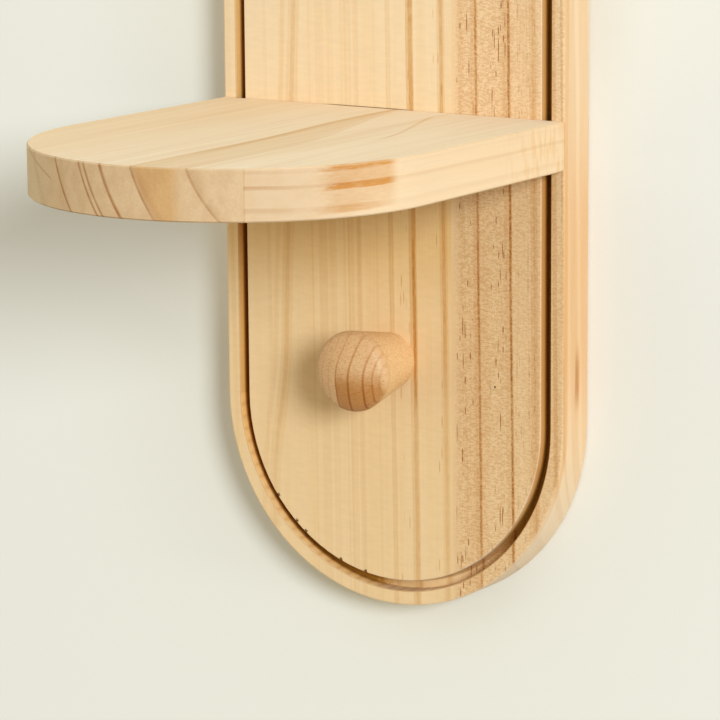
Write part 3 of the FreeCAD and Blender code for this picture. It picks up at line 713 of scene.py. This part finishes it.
# Rings along the shelf's edge, in Z: start, stop, soft before, soft after, strength; fainter away from the joint
EDGE_LINES = [(-42.0, -41.5, 1.0, 0.4, 0.56), (-49.6, -49.0, 1.8, 0.5, 0.36), (-37.0, -36.6, 0.6, 0.5, 0.2)]
EDGE_LINES_FAINTER = (46.0, 62.0, 1.0, 0.34)
EDGE_WOOD = (0.825, 0.605, 0.37, 1)
EDGE_END_WOOD = (0.69, 0.485, 0.286, 1)
EDGE_TINT = (0.96, 0.92, 0.86, 1)
EDGE_LINE = (0.70, 0.52, 0.34, 1)
EDGE_JOINT_ACROSS = (SHELF_JOINT + 0.5, SHELF_JOINT + 0.2, 0.0, 0.6)
EDGE_JOINT = (0.88, 0.70, 0.46, 1)
# Resin patch: its ends in Y, its lines in Z, and the lowest line, which fades towards the back
RESIN_FRONT, RESIN_BACK = (-159.0, -149.0), (-126.0, -132.0)
RESIN_MIDDLE, RESIN_LEAN = -140.0, -0.02
RESIN_LINES = [
    (-36.2, -34.0, 1.2, 0.5, 0.95), (-42.9, -41.2, 0.6, 0.8, 1.0), (-41.0, -34.0, 2.5, 0.5, 0.52),
    (-47.6, -41.0, 1.8, 0.5, 0.33),
]
RESIN_LOW_LINE = (-50.4, -48.7, 0.9, 0.9, 0.62)
RESIN_LOW_FAINTER = (-129.0, -146.0, 0.35, 1.0)
RESIN_COLOUR = (0.775, 0.48, 0.20, 1)
RESIN_ON_TOP = (0.9, 0.7, 0.5, 1)
RESIN_ON_TOP_REACH = (2.5, 0.0)
# Golden flecks on the edge next to the board, in Y
EDGE_FAR = (-72.0, -28.0)
EDGE_FAR_COLOUR = (0.94, 0.77, 0.55, 1)


def shelf_edge_finish():
    """Narrow stave of the shelf: flat rings along its edge, with a resin patch where the edge turns."""
    wood = ShelfWood("pine_shelf_edge_grain")
    ring = wood.wander(wood.z, slow=1.2, quick=0.6, fibre=0.10)
    late = wood.times(wood.bands(ring, EDGE_LINES), wood.fade(wood.x, *EDGE_LINES_FAINTER))
    edge = wood.mix(wood.end_grain, EDGE_WOOD, EDGE_END_WOOD)
    edge = wood.tint(edge, wood.fade(wood.broad, *PATCHY, low=0.0, high=0.6), EDGE_TINT)
    edge = wood.tint(edge, late, EDGE_LINE)
    edge = wood.tint(edge, wood.fade(wood.x, *EDGE_JOINT_ACROSS), EDGE_JOINT)

    rough = wood.swing(wood.noise((3.0, 5.0, 0.8), detail=3.0, shift=3.7), 1.0)
    turned = wood.times(wood.fade(wood.add(wood.y, wood.times(rough, 3.0)), *RESIN_FRONT),
                        wood.fade(wood.add(wood.y, wood.times(rough, 0.8)), *RESIN_BACK))
    level = wood.add(wood.z, wood.times(rough, 0.3), wood.times(wood.minus(wood.y, RESIN_MIDDLE), RESIN_LEAN))
    lower = wood.times(wood.band(level, *RESIN_LOW_LINE), wood.fade(wood.y, *RESIN_LOW_FAINTER))
    resin = wood.most(wood.bands(level, RESIN_LINES), lower)
    resin = wood.times(turned, resin, wood.math("MULTIPLY_ADD", rough, 0.5, 1.0))
    edge = wood.tint(edge, resin, RESIN_COLOUR)
    flecked = wood.fade(wood.noise((8.0, 2.4, 9.0), detail=1.0, shift=8.8), 0.42, 0.70)
    edge = wood.tint(edge, wood.times(wood.fade(wood.y, *EDGE_FAR), flecked, 0.55), EDGE_FAR_COLOUR)

    colour = wood.mix(wood.top, edge, wood.top_colour())
    on_top = wood.times(wood.top, turned, wood.fade(wood.from_edge(), *RESIN_ON_TOP_REACH))
    colour = wood.tint(colour, wood.times(on_top, 0.5), RESIN_ON_TOP)
    colour = wood.back_joint(wood.painted_bevel_shade(wood.fibred(colour, 0.05)))
    return wood.finish(colour, wood.times(wood.fibre, 0.02), wood.sanded(wood.fibre))


# Ring lines on the peg's head, in X: start, stop, soft before, soft after, strength
PEG_LINES = [
    (-11.2, -10.9, 0.5, 0.3, 0.30), (-7.4, -7.1, 0.5, 0.3, 0.30), (-3.8, -3.5, 0.5, 0.3, 0.70),
    (1.8, 2.2, 0.6, 0.3, 0.95), (7.8, 8.2, 0.6, 0.3, 0.90), (11.2, 11.5, 0.5, 0.3, 0.60),
    (13.6, 13.9, 0.5, 0.3, 0.30),
]
# How the lines lean and fade, by height from the peg's axis
PEG_LEAN = (-8.0, 10.0, 0.05, 0.26)
PEG_LINES_FAINTER = (14.0, -8.0, 0.5, 1.0)
# Where the cone's colour turns into the head's, in Y
PEG_HEAD = (PEG_CONE_END + 2.0, PEG_CONE_END - 5.0)
# Darker wood in the lower half of the head, by height and by ring
PEG_WARM_HEIGHT, PEG_WARM_RINGS = (3.5, -6.0), (-3.6, 13.5, 0.4, 2.0)
CONE_WOOD = (0.86, 0.57, 0.275, 1)
HEAD_WOOD = (0.71, 0.44, 0.21, 1)
PEG_WARM = (0.70, 0.51, 0.29, 1)
PEG_LINE = (0.66, 0.42, 0.21, 1)
PEG_HATCH = (0.78, 0.60, 0.41, 1)
PEG_FLECK = (0.84, 0.63, 0.38, 1)
PEG_ROUGHNESS = (0.42, 0.54)


def beech_finish():
    """Beech along the peg, with ring lines on its head and fine flecks."""
    wood = Wood("beech_grain", "Y", specular=0.35)
    level = wood.minus(wood.z, PEG_AXIS)
    lean = wood.times(level, wood.fade(level, *PEG_LEAN))
    ring = wood.wander(wood.minus(wood.x, lean), slow=0.4, quick=0.5, fibre=0.12)
    head = wood.fade(wood.y, *PEG_HEAD)
    late = wood.times(wood.bands(ring, PEG_LINES), head, wood.fade(level, *PEG_LINES_FAINTER))
    colour = wood.mix(head, CONE_WOOD, HEAD_WOOD)
    ragged = wood.add(level, wood.swing(wood.noise((1.6, 3.0, 1.6), detail=2.0, shift=9.4), 3.0))
    warm = wood.times(head, wood.fade(ragged, *PEG_WARM_HEIGHT), wood.band(ring, *PEG_WARM_RINGS))
    colour = wood.tint(colour, warm, PEG_WARM)
    colour = wood.tint(colour, late, PEG_LINE)
    hatch = wood.fade(wood.noise((1.3, 1.3, 0.34), detail=1.5, shift=4.1), 0.46, 0.64)
    colour = wood.tint(colour, wood.times(hatch, wood.fade(head, 0.0, 1.0, low=0.45, high=0.5)), PEG_HATCH)
    flecks = wood.marks((0.8, 3.0, 0.45), share=0.6, size=0.36, shift=1.3)
    colour = wood.tint(colour, wood.times(flecks, wood.fade(head, 0.0, 1.0, low=0.6, high=0.3)), PEG_FLECK)
    fibre = wood.streaks(across=0.5, along=9.0, detail=2.0)
    colour = wood.shade(colour, wood.swing(fibre, 0.07))
    height = wood.add(wood.times(fibre, 0.015), wood.times(hatch, -0.012))
    return wood.finish(colour, height, wood.fade(fibre, *MOST_OF_NOISE, *PEG_ROUGHNESS))


ZINC_DARK = (0.52, 0.53, 0.52, 1)
ZINC_PALE = (0.66, 0.66, 0.62, 1)
ZINC_ROUGHNESS = (0.28, 0.45)


def steel_finish():
    """Zinc-plated steel, brushed along the plates."""
    steel = Finish("zinc_plate", specular=0.5)
    steel.surface.inputs["Metallic"].default_value = 1.0
    brushed = steel.noise((0.3, 0.3, 12.0), detail=3.0)
    cloudy = steel.noise((4.0, 4.0, 4.0), detail=2.0)
    colour = steel.mix(steel.fade(cloudy, *MOST_OF_NOISE), ZINC_DARK, ZINC_PALE)
    return steel.finish(colour, steel.times(brushed, 0.01), steel.fade(brushed, 0.2, 0.8, *ZINC_ROUGHNESS))


def dress(node, material):
    slots = nodes[node].data.materials
    slots.clear()
    slots.append(material)


WALL_COLOUR = (0.86, 0.835, 0.735)
WALL_ROUGHNESS = 0.95
# Soft painted shade on the wall beside the board and near its upper right: by distance from its edge, in X and by
# height
WALL_PAINTED_SHADE = (0.925, 0.922, 0.91, 1)
BESIDE_REACH = (9.0, 18.0, 6.0, 80.0)
BESIDE_ACROSS = (60.0, -20.0)
BESIDE_FOOT, BESIDE_FAINTER = (-238.0, -220.0), (-170.0, -142.0, 0.6, 1.0)
SHELF_SHADOW_HEIGHT = (-112.0, -66.0, 26.0, 20.0)
UPPER_RIGHT_REACH, UPPER_RIGHT_ACROSS, UPPER_RIGHT_HEIGHT = (28.0, 0.0), (20.0, 60.0), (-50.0, 5.0)


def wall_finish():
    """Matt wall paint, which lets light and sight through from behind."""
    paint = Finish("wall_paint", specular=0.03)
    roller = paint.noise((1.6, 1.6, 1.6), detail=3.0)
    cloudy = paint.noise((400.0, 400.0, 400.0), detail=1.0)
    colour = paint.shade(WALL_COLOUR, paint.swing(cloudy, 0.012), paint.swing(roller, 0.006))
    from_board = paint.minus(paint.from_board_middle(), HALF_WIDTH)
    out_of_shadow = paint.minus(1.0, paint.band(paint.z, *SHELF_SHADOW_HEIGHT))
    # Painted shade beside the board, left out where the shelf's shadow falls
    beside = paint.times(paint.band(from_board, *BESIDE_REACH), paint.fade(paint.x, *BESIDE_ACROSS),
                         paint.fade(paint.z, *BESIDE_FOOT), paint.fade(paint.z, *BESIDE_FAINTER), out_of_shadow)
    colour = paint.tint(colour, beside, WALL_PAINTED_SHADE)
    # Painted shade near the board's upper right
    painted_shade_upper_right = paint.times(paint.fade(from_board, *UPPER_RIGHT_REACH), paint.fade(paint.x, *UPPER_RIGHT_ACROSS),
                              paint.fade(paint.z, *UPPER_RIGHT_HEIGHT))
    colour = paint.tint(colour, painted_shade_upper_right, WALL_PAINTED_SHADE)
    material = paint.finish(colour, paint.times(roller, 0.02), WALL_ROUGHNESS)
    choose = paint.node("ShaderNodeMixShader")
    paint.feed(choose.inputs[0], paint.node("ShaderNodeNewGeometry").outputs["Backfacing"])
    paint.feed(choose.inputs[1], paint.surface.outputs[0])
    paint.feed(choose.inputs[2], paint.node("ShaderNodeBsdfTransparent").outputs[0])
    paint.feed(paint.tree.nodes["Material Output"].inputs["Surface"], choose.outputs[0])
    return material


def stadium(radius, half_straight, steps):
    """Points round an upright outline with half-round ends, in X and Z."""
    points = []
    for middle, start in ((half_straight, 0.0), (-half_straight, math.pi)):
        for step in range(steps + 1):
            turn = start + math.pi * step / steps
            points.append((radius * math.cos(turn), middle + radius * math.sin(turn)))
    return points


def make_wall():
    """Wall behind the board, open where the board covers it so that light reaches the board's back."""
    hole = stadium((HALF_WIDTH - WALL_OVERLAP) * MM, END_CENTRE * MM, WALL_HOLE_STEPS)
    mesh = bmesh.new()
    inner, outer = [], []
    for x, z in hole:
        away = WALL_REACH / Vector((x, z)).length
        inner.append(mesh.verts.new((x, WALL_GAP, z)))
        outer.append(mesh.verts.new((x * away, WALL_GAP, z * away)))
    for i in range(len(hole)):
        j = (i + 1) % len(hole)
        mesh.faces.new((inner[i], outer[i], outer[j], inner[j]))
    bmesh.ops.recalc_face_normals(mesh, faces=mesh.faces)
    for face in mesh.faces:
        if face.normal.y > 0:
            face.normal_flip()
    data = bpy.data.meshes.new("wall")
    mesh.to_mesh(data)
    mesh.free()
    wall = bpy.data.objects.new("wall", data)
    bpy.context.scene.collection.objects.link(wall)
    wall.data.materials.append(wall_finish())


def make_camera():
    forward = Vector((-math.sin(CAMERA_YAW) * math.cos(CAMERA_PITCH), math.cos(CAMERA_YAW) * math.cos(CAMERA_PITCH),
                      -math.sin(CAMERA_PITCH)))
    level = Vector((math.cos(CAMERA_YAW), math.sin(CAMERA_YAW), 0.0))
    down = forward.cross(level)
    right = level * math.cos(CAMERA_ROLL) + down * math.sin(CAMERA_ROLL)
    up = level * math.sin(CAMERA_ROLL) - down * math.cos(CAMERA_ROLL)
    data = bpy.data.cameras.new("camera")
    data.sensor_width = SENSOR
    data.lens = CAMERA_LENS
    camera = bpy.data.objects.new("camera", data)
    camera.matrix_world = Matrix.Translation(CAMERA_PLACE) @ Matrix((right, up, -forward)).transposed().to_4x4()
    bpy.context.scene.collection.objects.link(camera)
    bpy.context.scene.camera = camera


def make_key_light():
    data = bpy.data.lights.new("key", "AREA")
    data.shape = "DISK"
    data.size = KEY_SIZE
    data.energy = KEY_POWER
    data.color = KEY_COLOUR
    key = bpy.data.objects.new("key", data)
    key.location = Vector((0, 0, PEG_AXIS * MM)) + KEY_DIRECTION * KEY_DISTANCE
    key.rotation_euler = KEY_DIRECTION.to_track_quat("Z", "Y").to_euler()
    key.visible_camera = False
    bpy.context.scene.collection.objects.link(key)


def make_sky():
    """Soft light from all round: cool from above, warm from the sides and dim from below."""
    world = bpy.data.worlds.new("studio")
    world.use_nodes = True
    bpy.context.scene.world = world
    air = Nodes(world.node_tree)
    x, _, z = air.split(air.node("ShaderNodeTexCoord").outputs["Generated"])
    sides = air.mix(air.fade(x, *SKY_LEFT_TO_RIGHT), SKY_LEFT, SKY_RIGHT)
    upper = air.mix(air.fade(z, *SKY_SIDE_TO_TOP), sides, SKY_TOP)
    sky = air.mix(air.fade(z, *SKY_FLOOR_TO_SIDE), SKY_FLOOR, upper)
    ray = air.node("ShaderNodeLightPath").outputs
    seen = air.most(ray["Is Camera Ray"], ray["Is Glossy Ray"])
    air.feed(air.tree.nodes["Background"].inputs["Color"], air.mix(seen, sky, SKY_SEEN))


make_camera()
make_sky()
make_key_light()
make_wall()

dress("backboard_left_stave", pale_stave_finish())
dress("backboard_right_stave", resinous_stave_finish())
dress("shelf_left_stave", shelf_finish())
dress("shelf_right_stave", shelf_edge_finish())
beech = beech_finish()
for node in ("hanging_peg", "shelf_dowels"):
    dress(node, beech)
steel = steel_finish()
for node in ("shelf_screws", "left_keyhole_plate", "right_keyhole_plate", "keyhole_plate_screws"):
    dress(node, steel)

view = bpy.context.scene.view_settings
view.view_transform = "Standard"
